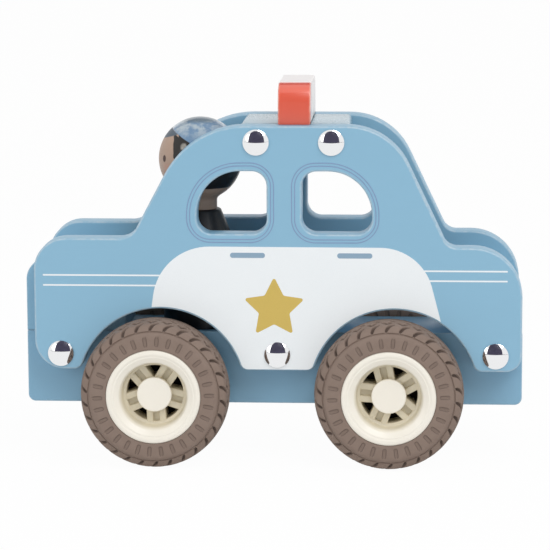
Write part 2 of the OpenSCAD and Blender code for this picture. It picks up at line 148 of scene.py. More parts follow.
def paintedWood(name, colour, highlight, gloss=0.36, grain=0.5, coat=0.12, sheen=1.5):
    f = Finish(name, Coat_Weight=coat, Coat_Roughness=0.2, Coat_IOR=sheen, IOR=1.5)
    fibre = f.cloud(f.place((14, 260, 260)), 4.0, detail=5.0, rough=0.6)   # grain under the paint
    patch = f.cloud(f.place(), 34.0)                                       # uneven coats
    speck = f.cloud(f.place(), 2100.0, detail=2.0)                         # fine orange peel
    # painted highlight: the second colour is laid on the bevelled edges in patches, where light glints off
    # them
    edgeHighlight = f.layer("edge") * (0.35 + 0.65 * f.cloud(f.place(), 420.0, detail=4.0).over(0.52, 0.16))
    shade = tuple(min(1, c * 0.90) for c in colour[:3]) + (1,)
    tone = f.mix(patch * 0.30 + fibre * 0.18, colour, shade)
    f.feed("Base Color", f.mix(edgeHighlight * 0.8, tone, highlight))
    f.feed("Roughness", gloss + 0.12 * patch + 0.10 * (speck - 0.5))
    f.bump(fibre * grain + speck * 0.35, strength=0.16, distance=0.00012)
    return f.material


# the second colour of each paint is its painted edge highlight
finishBlue = paintedWood("bluePaint", paint(140, 186, 212), paint(190, 206, 216))
# painted shade: a darker copy of the blue paint for the chassis, which sits low under the panels
finishChassisShaded = paintedWood("chassisShadedPaint", paint(134, 179, 206), paint(176, 198, 212))
# painted reflection: a paler, greyer copy of the blue paint for the roof block, for the sky it reflects on
# top
finishRoofReflection = paintedWood("roofReflectionPaint", paint(148, 180, 196), paint(200, 214, 222),
                         gloss=0.22, grain=1.8, coat=0.36)
finishRed = paintedWood("redPaint", paint(233, 91, 63), paint(240, 168, 148),
                        gloss=0.28, coat=1.0, sheen=1.68)
finishWhite = paintedWood("whitePaint", paint(251, 246, 245), paint(254, 252, 250), gloss=0.34)
finishNavy = paintedWood("navyPaint", paint(10, 13, 19), paint(34, 40, 52), gloss=0.38, grain=0.4, coat=0.08)


def printedInk(name, colour, other):
    f = Finish(name, IOR=1.46)
    dots = f.cloud(f.place(), 2600.0, detail=2.0)
    wash = f.cloud(f.place(), 60.0)
    f.feed("Base Color", f.mix(wash * 0.4 + 0.25 * dots.over(0.6, 0.12), colour, other))
    f.feed("Roughness", 0.34 + 0.14 * wash)
    f.bump(dots, strength=0.10, distance=0.00004)
    return f.material


inkWhite = printedInk("whiteInk", paint(241, 245, 247), paint(231, 236, 239))
inkGold = printedInk("goldInk", paint(212, 184, 96), paint(198, 170, 84))
inkLine = printedInk("lineInk", paint(126, 150, 186), paint(142, 160, 196))
inkHandle = printedInk("handleInk", paint(138, 165, 187), paint(148, 175, 196))

mouthShade = dict(edge=38.6, soft=2.6)   # where the painted shade in a rim's mouth ends, in mm from the car's middle


def mouldedCream(name, shadeAmount):
    f = Finish(name, IOR=1.49, Coat_Weight=0.1, Coat_Roughness=0.15)
    spark = f.cloud(f.place(), 1500.0, detail=2.0)
    flow = f.cloud(f.place(), 70.0)
    reach, = f.outputs("ShaderNodeSeparateXYZ", "Y", {"Vector": f.place((1, 1 / mm, 1))})
    # painted shade on the parts of a rim that lie deep in its mouth
    mouthShadeMask = 1.0 - abs(reach).over(mouthShade["edge"], mouthShade["soft"])
    tone = f.mix(flow * 0.5, paint(247, 242, 231), paint(238, 231, 215))
    f.feed("Base Color", f.mix(mouthShadeMask * shadeAmount, tone, paint(202, 188, 148)))
    f.feed("Roughness", 0.30 + 0.14 * flow)
    f.bump(spark, strength=0.06, distance=0.00005)
    return f.material


def mouldedRubber(name, dark, light):
    f = Finish(name, IOR=1.5, Specular_IOR_Level=0.35)
    dust = f.cloud(f.place(), 120.0, detail=5.0, rough=0.65)
    pores = f.cloud(f.place(), 2400.0)
    tone = f.mix(dust.over(0.52, 0.25) * 0.5 + pores * 0.15, dark, light)
    f.feed("Base Color", f.mix(f.layer("groove") * 0.72, tone, paint(66, 53, 47)))   # painted shade, darker in the grooves and wall marks
    f.feed("Roughness", 0.62 + 0.2 * dust)
    f.bump(pores + dust * 0.6, strength=0.22, distance=0.00012)
    return f.material


def polishedChrome():
    f = Finish("polishedChrome", Metallic=1.0, Base_Color=paint(236, 237, 238))
    haze = f.cloud(f.place(), 900.0)
    f.feed("Roughness", 0.03 + 0.05 * haze.over(0.55, 0.2))
    f.bump(haze, strength=0.02, distance=0.00003)
    return f.material


def drawnSteel():
    f = Finish("drawnSteel", Metallic=1.0)
    draw = f.cloud(f.place((900, 6, 900)), 3.0, detail=4.0)   # fine lines along the axle
    f.feed("Base Color", f.mix(draw, paint(176, 178, 182), paint(206, 208, 210)))
    f.feed("Roughness", 0.22 + 0.2 * draw)
    f.bump(draw, strength=0.08, distance=0.00005)
    return f.material


def mouldedNylon():
    f = Finish("bushNylon", IOR=1.53)
    flow = f.cloud(f.place(), 160.0)
    f.feed("Base Color", f.mix(flow, paint(226, 225, 218), paint(208, 206, 196)))
    f.feed("Roughness", 0.42 + 0.15 * flow)
    f.bump(flow, strength=0.08, distance=0.0001)
    return f.material


def bareBeech():
    f = Finish("bareBeech", IOR=1.45)
    fleck = f.cloud(f.place((320, 320, 22)), 2.0, detail=6.0, rough=0.65)
    f.feed("Base Color", f.mix(fleck, paint(214, 176, 128), paint(178, 134, 88)))
    f.feed("Roughness", 0.58 + 0.2 * fleck)
    f.bump(fleck, strength=0.25, distance=0.0002)
    return f.material


finishCream = mouldedCream("creamPlastic", shadeAmount=0.0)
# the rim carries painted shade in its mouth; the hub cap stays clean
finishRimShaded = mouldedCream("rimShadedPlastic", shadeAmount=0.5)
finishRubber = mouldedRubber("brownRubber", paint(132, 114, 103), paint(146, 128, 117))
finishBackShade = mouldedRubber("backShadeRubber", paint(46, 39, 36), paint(58, 50, 46))
finishChrome = polishedChrome()
finishSteel = drawnSteel()
finishNylon = mouldedNylon()
finishBeech = bareBeech()
print("finishes made:", len(bpy.data.materials))


# outlines, in millimetres

def arc(centre, radius, start, end, step=5.0):
    count = max(3, math.ceil(abs(end - start) / step))
    turns = [math.radians(start + (end - start) * i / count) for i in range(count + 1)]
    return [(centre[0] + radius * math.cos(a), centre[1] + radius * math.sin(a)) for a in turns]


def rounded(corners):   # corners as (x, y, radius), a bare point where the radius is 0
    points = []
    for i, (x, y, radius) in enumerate(corners):
        here = Vector((x, y))
        if radius <= 0:
            points.append((x, y))
            continue
        back = (Vector(corners[i - 1][:2]) - here).normalized()
        ahead = (Vector(corners[(i + 1) % len(corners)][:2]) - here).normalized()
        half = math.acos(max(-1, min(1, back.dot(ahead)))) / 2
        centre = here + (back + ahead).normalized() * radius / math.sin(half)
        first = here + back * radius / math.tan(half) - centre
        last = here + ahead * radius / math.tan(half) - centre
        start = math.degrees(math.atan2(first.y, first.x))
        sweep = (math.degrees(math.atan2(last.y, last.x)) - start + 540) % 360 - 180
        points += arc(centre, radius, start, start + sweep)
    return points


def area(loop):
    return sum(a[0] * b[1] - b[0] * a[1] for a, b in zip(loop, loop[1:] + loop[:1])) / 2


def inset(loop, depth):   # moves a loop to its left, with a limit at sharp corners
    moved = []
    count = len(loop)
    for i, (x, y) in enumerate(loop):
        a = Vector((x - loop[i - 1][0], y - loop[i - 1][1])).normalized()
        b = Vector((loop[(i + 1) % count][0] - x, loop[(i + 1) % count][1] - y)).normalized()
        na, nb = Vector((-a.y, a.x)), Vector((-b.y, b.x))
        shift = (na + nb) / max(0.3, 1 + na.dot(nb)) * depth
        moved.append((x + shift.x, y + shift.y))
    return moved


# meshes

def newMesh(name, verts, faces, material, flat=(), weights=None, sharp=None):
    mesh = bpy.data.meshes.new(name)
    mesh.from_pydata([tuple(float(c) * mm for c in v) for v in verts], [], faces)
    mesh.polygons.foreach_set("use_smooth", [i not in flat for i in range(len(faces))])
    for key, values in (weights or {}).items():
        mesh.attributes.new(key, "FLOAT", "POINT").data.foreach_set("value", values)
    shell = bmesh.new()
    shell.from_mesh(mesh)
    bmesh.ops.remove_doubles(shell, verts=shell.verts, dist=1e-7)   # the points on a lathe's axis
    bmesh.ops.recalc_face_normals(shell, faces=shell.faces)
    shell.to_mesh(mesh)
    shell.free()
    if sharp:
        mesh.set_sharp_from_angle(angle=math.radians(sharp))
    mesh.materials.append(material)
    made = bpy.data.objects.new(name, mesh)
    scene.collection.objects.link(made)
    return made


def sideOn(u, v, h):   # outline in X and Z, thickness across the car
    return (u, h, v)


def panelOn(u, v, h):   # the same in the panels' own frame, which is set towards the tail
    return (u + panel["shift"], h, v)


def crossWise(u, v, h):   # outline in Y and Z, thickness along the car
    return (h, u, v)


def slabParts(loops, low, high, edge, steps=4):   # a plate with rounded edges: its outer loop, then the holes
    loops = [loop if (area(loop) > 0) == (i == 0) else loop[::-1] for i, loop in enumerate(loops)]
    turns = [math.pi / 2 * k / steps for k in range(steps + 1)]
    # the third value weights the painted edge highlight, strongest in the middle of a bevel
    bends = [(edge * (1 - math.sin(a)), edge * (1 - math.cos(a)), math.sin(2 * a)) for a in turns]
    rings = [(depth, low + rise, highlight) for depth, rise, highlight in bends]
    rings += [(depth, high - rise, highlight) for depth, rise, highlight in reversed(bends)]
    verts, faces, flat, weights, starts = [], [], set(), [], []
    for depth, height, highlight in rings:
        starts.append([])
        for loop in loops:
            starts[-1].append(len(verts))
            verts += [(x, y, height) for x, y in inset(loop, depth)]
            weights += [highlight] * len(loop)
    for below, above in zip(starts, starts[1:]):
        for loop, a, b in zip(loops, below, above):
            n = len(loop)
            faces += [(a + i, a + (i + 1) % n, b + (i + 1) % n, b + i) for i in range(n)]
    for start in (starts[0], starts[-1]):
        rims = [[Vector((x, y, 0)) for x, y, z in verts[s:s + len(loop)]] for loop, s in zip(loops, start)]
        for triangle in tessellate_polygon(rims):
            flat.add(len(faces))
            faces.append(tuple(start[0] + i for i in triangle))
    return verts, faces, flat, weights


def slab(name, loops, low, high, edge, place, material, steps=4):
    verts, faces, flat, weights = slabParts(loops, low, high, edge, steps)
    # the edge weights carry the painted highlight of the bevels
    return newMesh(name, [place(*v) for v in verts], faces, material, flat, {"edge": weights})


def ringFaces(segments, count, closed):   # the faces of a lathed section with so many points
    faces = []
    for s in range(segments):
        t = (s + 1) % segments
        for k in range(count if closed else count - 1):
            m = (k + 1) % count
            faces.append((s * count + k, t * count + k, t * count + m, s * count + m))
    return faces


def latheParts(section, segments, closed=False):   # a section of (radius, height) points about the third axis
    r, h = np.array(section).T
    turns = np.linspace(0, 2 * math.pi, segments, endpoint=False)[:, None]
    verts = np.stack([np.cos(turns) * r, np.sin(turns) * r, np.tile(h, (segments, 1))], axis=2)
    return verts.reshape(-1, 3), ringFaces(segments, len(section), closed)


def joined(*shells):   # several shells of (verts, faces) as one
    verts, faces = [], []
    for some, theirs in shells:
        base = len(verts)
        verts += [tuple(v) for v in some]
        faces += [tuple(base + i for i in face) for face in theirs]
    return verts, faces


def settle(piece, body, slotName, *nodes):
    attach(piece, body)
    if nodes:
        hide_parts(*nodes)
    return piece


# blocks and side panels

car = dict(axleZ=30.0, wheelbase=94.0, half=18.5, panelOut=28.5, panelZ=38.5,
           hoodZ=91.9, bootZ=88.7, roofZ=137.3)


def block(name, node, finish, settings, front, rear, low, high):   # corners go round from the low front
    loop = rounded(list(zip((front, rear, rear, front), (low, low, high, high), settings["corners"])))
    made = slab(name, [loop], -car["half"], car["half"], settings["edge"], sideOn, finish)
    settle(made, "car_body", "blue_paint", node)


chassis = dict(length=201.0, low=23.0, high=52.5, corners=(3.0, 3.0, 0.6, 0.6), edge=0.5)
noseX, tailX = -chassis["length"] / 2, chassis["length"] / 2
block("chassisBlock", "chassis_block", finishChassisShaded, chassis, noseX, tailX, chassis["low"], chassis["high"])

bonnet = dict(length=40.3, height=29.5, corners=(0.3, 0.3, 2.0, 8.5), edge=0.4)
block("bonnetBlock", "bonnet_block", finishBlue, bonnet, noseX, noseX + bonnet["length"],
      chassis["high"], chassis["high"] + bonnet["height"])

boot = dict(length=25.5, height=27.0, inset=2.7, corners=(0.3, 0.3, 18.0, 2.0), edge=0.4)
bootRear = tailX - boot["inset"]
block("bootBlock", "boot_block", finishBlue, boot, bootRear - boot["length"], bootRear,
      chassis["high"], chassis["high"] + boot["height"])

roofLow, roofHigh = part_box("roof_block")
roof = dict(front=roofLow[0] / mm, rear=roofHigh[0] / mm, low=roofLow[2] / mm,
            corners=(0.8, 0.8, 2.0, 2.0), edge=0.8)
block("roofBlock", "roof_block", finishRoofReflection, roof, roof["front"], roof["rear"], roof["low"], car["roofZ"])

panel = dict(length=196.0, shift=2.0, arch=33.5, archStep=3, foot=3.5, footStep=12, edge=0.9, edgeSteps=5,
             screenFoot=39.3, screenAngle=62.0, screenFillet=8.0,
             rearFoot=29.8, rearAngle=64.5, rearFillet=6.0,
             roofFront=37.0, roofRear=27.4, nose=13.0, tail=20.0, lowFront=12.0, lowRear=6.5)
windows = dict(width=28.0, height=25.2, sill=94.0, post=14.0, middle=2.9, sweep=17.5, corner=6.0)


def archFeet(x, margin=0.0, lift=0.0):   # wheel arch with rounded feet on the lower edge
    radius, foot, base = panel["arch"] + margin, panel["foot"] - margin, car["panelZ"] + lift
    rise = base + foot - car["axleZ"]
    run = math.sqrt((radius + foot) ** 2 - rise ** 2)
    lean = math.degrees(math.atan2(rise, run))
    front = arc((x - run, base + foot), foot, -90, -lean, panel["footStep"])
    arch = arc((x, car["axleZ"]), radius, 180 - lean, lean, panel["archStep"])
    rear = arc((x + run, base + foot), foot, 180 + lean, 270, panel["footStep"])
    return front + arch[1:-1] + rear


def panelLoop():
    front, rear = -panel["length"] / 2, panel["length"] / 2
    screen, rearScreen = front + panel["screenFoot"], rear - panel["rearFoot"]
    screenRun = (car["roofZ"] - car["hoodZ"]) / math.tan(math.radians(panel["screenAngle"]))
    rearRun = (car["roofZ"] - car["bootZ"]) / math.tan(math.radians(panel["rearAngle"]))
    corners = [(front, car["panelZ"], panel["lowFront"])]
    corners += [(x, z, 0) for x, z in archFeet(-car["wheelbase"] / 2) + archFeet(car["wheelbase"] / 2)]
    corners += [(rear, car["panelZ"], panel["lowRear"]), (rear, car["bootZ"], panel["tail"]),
                (rearScreen, car["bootZ"], panel["rearFillet"]),
                (rearScreen - rearRun, car["roofZ"], panel["roofRear"]),
                (screen + screenRun, car["roofZ"], panel["roofFront"]),
                (screen, car["hoodZ"], panel["screenFillet"]), (front, car["hoodZ"], panel["nose"])]
    return rounded(corners)


def windowLoop(way, grow=0.0):   # way -1 is the front window, 1 the rear one
    w = windows
    near = w["middle"] + way * (w["post"] / 2 - grow)
    far = w["middle"] + way * (w["post"] / 2 + w["width"] + grow)
    low, high = w["sill"] - grow, w["sill"] + w["height"] + grow
    return rounded([(near, low, w["corner"] + grow), (far, low, w["corner"] + grow),
                    (far, high, w["sweep"] + grow), (near, high, w["corner"] + grow)])


for side, name in sides:
    span = sorted((side * car["half"], side * car["panelOut"]))
    loops = [panelLoop(), windowLoop(-1), windowLoop(1)]
    plate = slab(name + "SidePanel", loops, *span, panel["edge"], panelOn, finishBlue, panel["edgeSteps"])
    settle(plate, "car_body", "blue_paint", name + "_side_panel")
print("blocks and side panels made")


# prints on the outside of the panels

inks = dict(thick=0.05, fine=0.6, heavy=1.6, sunk=0.02, edge=0.012)   # fine and heavy as shares of thick
door = dict(margin=0.8, lift=0.5, front=-51.0, rear=66.0, corners=[(57.8, 88.7, 21.4), (-47.0, 88.9, 23.0)])
star = dict(x=-1.2, z=63.9, radius=12.9, ratio=0.5, tip=0.7, notch=1.2)
stripes = dict(width=0.65, end=0.2, front=(-94.3, -45.6, 77.0, 72.9), rear=(58.8, 92.0, 79.4, 75.4))
handles = dict(x=(-11.8, 31.1), z=85.4, length=14.0, height=2.1, end=1.0)
windowLines = dict(width=0.36, gaps=(2.2, 3.4), shift=-0.6)


def doorLoop():   # along both arches and the lower edge, then two round shoulders
    front = archFeet(-car["wheelbase"] / 2, door["margin"], door["lift"])
    rear = archFeet(car["wheelbase"] / 2, door["margin"], door["lift"])
    feet = [p for p in front if p[0] > door["front"]] + [p for p in rear if p[0] < door["rear"]]
    return rounded([(x, z, 0) for x, z in feet] + door["corners"])


def starLoop():
    kinds = [(star["radius"], star["tip"]), (star["radius"] * star["ratio"], star["notch"])]
    corners = []
    for k in range(10):
        reach, soft = kinds[k % 2]
        turn = math.radians(90 + 36 * k)
        corners.append((star["x"] + reach * math.cos(turn), star["z"] + reach * math.sin(turn), soft))
    return rounded(corners)


def bar(x0, x1, z, width, end):
    low, high = z - width / 2, z + width / 2
    return rounded([(x0, low, end), (x1, low, end), (x1, high, end), (x0, high, end)])


def lineLoops(way, gap):   # a thin frame round a window
    pair = [windowLoop(way, gap + windowLines["width"] / 2), windowLoop(way, gap - windowLines["width"] / 2)]
    return [[(x + windowLines["shift"], z) for x, z in loop] for loop in pair]


def printLayer(name, side, shapes, ink, thick):
    face = side * car["panelOut"]
    span = sorted((face - side * inks["sunk"], face + side * thick))
    verts, faces = joined(*[slabParts(loops, *span, inks["edge"], 1)[:2] for loops in shapes])
    made = newMesh(name, [panelOn(*v) for v in verts], faces, ink, range(len(faces)))
    settle(made, "car_body", "blue_paint")


stripeShapes = [[bar(x0, x1, z, stripes["width"], stripes["end"])]   # x from and to, then two heights
                for x0, x1, *heights in (stripes["front"], stripes["rear"]) for z in heights]
handleHalf = handles["length"] / 2
handleShapes = [[bar(x - handleHalf, x + handleHalf, handles["z"], handles["height"], handles["end"])]
                for x in handles["x"]]
lineShapes = [lineLoops(way, gap) for way in (-1, 1) for gap in windowLines["gaps"]]
for side, name in sides:
    for label, shapes, ink, share in (("DoorPrint", [[doorLoop()]], inkWhite, 1.0),
                                      ("Stripes", stripeShapes, inkWhite, inks["fine"]),
                                      ("Star", [[starLoop()]], inkGold, inks["heavy"]),
                                      ("DoorHandles", handleShapes, inkHandle, inks["heavy"]),
                                      ("WindowLines", lineShapes, inkLine, inks["heavy"])):
        printLayer(name + label, side, shapes, ink, inks["thick"] * share)
print("prints made")


# light bar

lights = dict(width=13.0, height=16.3, redWidth=8.0, lap=5.0, end=7.6, corner=0.25, edge=0.7)
lightX = (roof["front"] + roof["rear"]) / 2
lightEnd = car["half"] + lights["lap"]
lightTop = car["roofZ"] + lights["height"]
seamY = lights["redWidth"] - lightEnd
for side, name, finish in ((-1, "Red", finishRed), (1, "White", finishWhite)):
    loop = rounded([(seamY, car["roofZ"], lights["corner"]),
                    (side * lightEnd, car["roofZ"], lights["corner"]),
                    (side * lightEnd, lightTop, lights["end"]), (seamY, lightTop, lights["corner"])])
    span = (lightX - lights["width"] / 2, lightX + lights["width"] / 2)
    made = slab("lightBar" + name, [loop], *span, lights["edge"], crossWise, finish)
    settle(made, "car_body", "lamp_" + name.lower(), "light_bar_" + name.lower())
print("light bar made")


# what repeats: copies of a part on points, each with its own turn

def copiesTree():
    tree = bpy.data.node_groups.new("copiesOnPoints", "GeometryNodeTree")
    sockets = {}
    for name, kind in (("Geometry", "NodeSocketGeometry"), ("Part", "NodeSocketObject"),
                       ("Finish", "NodeSocketMaterial")):
        sockets[name] = tree.interface.new_socket(name, in_out="INPUT", socket_type=kind).identifier
    tree.interface.new_socket("Geometry", in_out="OUTPUT", socket_type="NodeSocketGeometry")
    start, end = tree.nodes.new("NodeGroupInput"), tree.nodes.new("NodeGroupOutput")
    part = tree.nodes.new("GeometryNodeObjectInfo")
    turn = tree.nodes.new("GeometryNodeInputNamedAttribute")
    turn.data_type = "FLOAT_VECTOR"
    turn.inputs["Name"].default_value = "turn"
    copies = tree.nodes.new("GeometryNodeInstanceOnPoints")
    solid = tree.nodes.new("GeometryNodeRealizeInstances")
    dress = tree.nodes.new("GeometryNodeSetMaterial")
    for a, b in ((start.outputs["Part"], part.inputs["Object"]),
                 (start.outputs["Geometry"], copies.inputs["Points"]),
                 (part.outputs["Geometry"], copies.inputs["Instance"]),
                 (turn.outputs["Attribute"], copies.inputs["Rotation"]),
                 (copies.outputs["Instances"], solid.inputs["Geometry"]),
                 (solid.outputs["Geometry"], dress.inputs["Geometry"]),
                 (start.outputs["Finish"], dress.inputs["Material"]),
                 (dress.outputs["Geometry"], end.inputs["Geometry"])):
        tree.links.new(a, b)
    return tree, sockets


copies, copyInputs = copiesTree()


def spread(name, part, places, material):   # places as (point in mm, turn in degrees)
    mesh = bpy.data.meshes.new(name)
    mesh.from_pydata([tuple(c * mm for c in point) for point, turn in places], [], [])
    turns = [math.radians(a) for point, turn in places for a in turn]
    mesh.attributes.new("turn", "FLOAT_VECTOR", "POINT").data.foreach_set("vector", turns)
    made = bpy.data.objects.new(name, mesh)
    scene.collection.objects.link(made)
    grow = made.modifiers.new("copies", "NODES")
    grow.node_group = copies
    grow[copyInputs["Part"]] = part
    grow[copyInputs["Finish"]] = material
    graph = bpy.context.evaluated_depsgraph_get()
    plain = bpy.data.meshes.new_from_object(made.evaluated_get(graph), preserve_all_data_layers=True,
                                            depsgraph=graph)
    made.modifiers.remove(grow)
    made.data = plain
    return made


screws = dict(head=10.4, dome=1.75, skirt=0.55, waist=0.4, foot=0.2, sunk=0.25, segments=64, sharp=50,
              low=(-87.5, 0.0, 87.5), lowZ=45.0, pitch=30.0, drop=6.5)   # waist as a share of the skirt


def screwSection():   # the dome from its crown down, then the skirt
    half, rise = screws["head"] / 2, screws["dome"]
    radius = (half ** 2 + rise ** 2) / (2 * rise)
    lean = math.degrees(math.asin(half / radius))
    section = [(r, h + screws["skirt"] + rise - radius) for h, r in arc((0, 0), radius, 0, lean, 3)]
    section += [(half, screws["skirt"] * screws["waist"]), (half - screws["foot"], -screws["sunk"])]
    return section + [(0.0, -screws["sunk"])]


domeShell = latheParts(screwSection(), screws["segments"])
dome = newMesh("screwDome", *domeShell, finishChrome, sharp=screws["sharp"])
places = [(panel["shift"] + x, screws["lowZ"]) for x in screws["low"]]
places += [(lightX + way * screws["pitch"] / 2, car["roofZ"] - screws["drop"]) for way in (-1, 1)]
for side, name in sides:
    spots = [((x, side * car["panelOut"], z), (-90 * side, 0, 0)) for x, z in places]
    heads = spread(name + "ScrewHeads", dome, spots, finishChrome)
    settle(heads, "car_body", "screw_chrome", name + "_panel_screws")
bpy.data.objects.remove(dome)
print("screw heads made")


# wheels, each about its own axle, with the third axis outwards

wheel = dict(radius=30.0, width=21.0, middle=31.5, bead=1.0, seat=17.0, lip=19.0, lipFront=11.0, mouth=13.3,
             ledge=11.5, spokeFront=2.6, webBack=-7.4, hubFront=3.8)
halfWidth = wheel["width"] / 2
beadAt = halfWidth - wheel["bead"]

tyre = dict(gap=0.05, soft=0.3, wall=23.6, wallSteps=14, turn=(2.5, 1.25), turnAngles=range(12, 91, 13),
            ring=((26.15, 1.5), (26.4, 1.5), (26.65, 1.22)),            # radius and depth of the fine ring
            slope=(1.85, 1.0), bulge=(1.6, 1.1), shoulder=(0.95, 2.1),   # each outwards and inwards
            bendSteps=9, crownSteps=24, sharp=60)
tread = dict(pitches=30, perPitch=20, inner=26.55, depth=1.0, taper=(0.85, 0.3), blunt=1.25, soft=0.5,
             grooves=(((4.5, 1.5), (1.3, 3.8), 0.44), ((3.9, 4.5), (2.6, 6.4), 0.62),
                      ((3.9, 4.5), (5.4, 6.2), 0.5), ((0.9, 8.0), (2.6, 9.6), 0.6)))   # two ends, half width
marks = dict(inner=20.5, outer=24.3, half=0.66, lap=0.14, soft=0.22, depth=0.4, phase=0.35,
             markFloorShade=0.16, markEdgeShade=3.6)


def tyreSection():   # from the inner bead over the crown to the outer bead
    soft, wall, lip = tyre["soft"], tyre["wall"], wheel["lip"] + tyre["gap"]
    points = [(lip, beadAt), (lip, halfWidth - soft)]
    points += arc((lip + soft, halfWidth - soft), soft, 180, 90, 30)[1:]
    steps = tyre["wallSteps"]
    points += [(lip + soft + (wall - lip - soft) * k / steps, halfWidth) for k in range(1, steps + 1)]
    out, fall = tyre["turn"]
    points += [(wall + out * math.sin(a), halfWidth - fall * (1 - math.cos(a)))
               for a in map(math.radians, tyre["turnAngles"])]
    points += [(radius, halfWidth - depth) for radius, depth in tyre["ring"]]
    bends = np.arange(1, tyre["bendSteps"] + 1) / tyre["bendSteps"]
    (r, w), (out, fall) = points[-1], tyre["slope"]
    points += [(r + out * t, w - fall * t) for t in bends]
    (r, w), (out, fall), (swell, sink) = points[-1], tyre["shoulder"], tyre["bulge"]
    points += [(r + swell * t * (1 - t) + out * t * t, w - sink * t * (1 - t) - fall * t * t) for t in bends]
    (r, w), steps = points[-1], tyre["crownSteps"]
    points += [(r + (wheel["radius"] - r) * math.sin(math.pi / 2 * k / steps), w * (1 - k / steps))
               for k in range(1, steps + 1)]
    return [(r, -w) for r, w in points[:-1]] + points[::-1]


def grooveDepth(s, w, line, half):   # 1 along a line in the tread, 0 beyond half its width
    (sa, wa), (sb, wb) = line
    length = (sb - sa) ** 2 + (wb - wa) ** 2
    t = np.clip(((s - sa) * (sb - sa) + (w - wa) * (wb - wa)) / length, 0, 1)
    start, widen = tread["taper"]
    gap = np.hypot(s - sa - t * (sb - sa), w - wa - t * (wb - wa)) / (half * (start + widen * t))
    return np.clip((tread["blunt"] - gap) / tread["soft"], 0, 1)


def treadCuts(turns, w):   # the grooves, half a pitch apart on the two shoulders
    pitch = 2 * math.pi * wheel["radius"] / tread["pitches"]
    s = turns * wheel["radius"] % pitch
    cut = 0.0
    for way in (-1, 1):
        for *ends, half in tread["grooves"]:
            for lap in (-pitch, 0, pitch):
                shift = lap if way > 0 else lap + pitch / 2
                line = [(along + shift, halfWidth - inward) for along, inward in ends]
                cut = np.maximum(cut, grooveDepth(s, w * way, line, half))
    return cut


def wallMarks(turns, r):   # 1 in the short sunk marks on the walls
    across = (turns / (2 * math.pi) * tread["pitches"] + marks["phase"]) % 1 - 0.5
    across = across * 2 * math.pi * r / tread["pitches"]
    middle = (marks["inner"] + marks["outer"]) / 2
    reach = (marks["outer"] - marks["inner"]) / 2 - marks["half"]
    along = np.maximum(np.abs(r - middle) - reach, 0)
    return np.clip((marks["half"] + marks["lap"] - np.hypot(across, along)) / marks["soft"], 0, 1)


def tyreParts():   # the shell and the painted shade of each of its points in a groove or mark
    r, w = np.array(tyreSection()).T
    segments = tread["pitches"] * tread["perPitch"]
    turns = np.arange(segments)[:, None] * 2 * math.pi / segments
    cut = treadCuts(turns, w) * (r > tread["inner"])
    mark = wallMarks(turns, r)
    normal = np.stack([np.gradient(w), -np.gradient(r)])
    normal /= np.linalg.norm(normal, axis=0)
    push = -(cut * tread["depth"] + mark * marks["depth"])
    newR = np.hstack([r + push * normal[0], np.full((segments, 2), wheel["seat"])])
    newW = np.hstack([w + push * normal[1], np.tile([beadAt, -beadAt], (segments, 1))])
    verts = np.stack([newR * np.cos(turns), newR * np.sin(turns), newW], axis=2).reshape(-1, 3)
    # painted shade: full in the tread grooves, light on the floors of the wall marks, darker round their
    # edges
    tone = np.maximum(cut, np.maximum(mark * marks["markFloorShade"], marks["markEdgeShade"] * mark * (1 - mark)))
    depth = np.hstack([tone, np.zeros((segments, 2))]).reshape(-1)
    return (verts, ringFaces(segments, len(r) + 2, True)), depth


rim = dict(segments=128, sharp=38, profile=(   # beside a radius and a height of the wheel, then the rounding
    ("ledge", 0.0, "webBack", 0.0, 0.3), ("mouth", 1.4, "webBack", -1.2, 0.4),
    ("mouth", 1.4, "back", 0.0, 0.5), ("lip", -0.6, "back", 0.0, 0.4),
    ("lip", -0.6, "innerBead", 0.0, 0.0), ("seat", 0.0, "innerBead", 0.0, 0.0),
    ("seat", 0.0, "outerBead", 0.0, 0.0), ("lip", -0.1, "outerBead", 0.0, 0.0),
    ("lip", 0.0, "lipFront", -1.2, 0.0), ("lip", -0.1, "lipFront", -0.1, 0.9),
    ("seat", 0.3, "lipFront", 0.05, 1.2), ("seat", -0.6, "lipFront", -0.45, 0.5),
    ("seat", -1.0, "lipFront", -0.4, 0.5), ("mouth", 0.5, "lipFront", -1.9, 1.2),
    ("mouth", -0.1, "lipFront", -3.6, 0.8), ("mouth", -0.5, "spokeFront", 0.4, 0.9),
    ("ledge", 0.0, "spokeFront", -0.2, 0.5)))


def rimSection():
    level = dict(wheel, back=-halfWidth, innerBead=-beadAt, outerBead=beadAt)
    return rounded([(level[a] + out, level[b] + rise, soft) for a, out, b, rise, soft in rim["profile"]])


backShade = dict(reach=1.35, hole=6.5, inset=0.1, thick=0.7, segments=96, sharp=40)


def backShadeSection():   # a dark disc of painted shade that closes the back of the rim
    outer, inner, back = wheel["mouth"] + backShade["reach"], backShade["hole"], backShade["inset"] - halfWidth
    return [(outer, back + backShade["thick"]), (outer, back), (inner, back), (inner, back + backShade["thick"])]


spokes = dict(pairs=5, frontTurn=57.0, rearTurn=31.0, root=3.0, lap=0.2,
              rootSpan=(1.2, 3.6), tipSpan=(1.25, 4.1), edge=0.5,
              floorHalf=(1.6, 1.8), floorDrop=2.0, floorEdge=0.1, sharp=40)


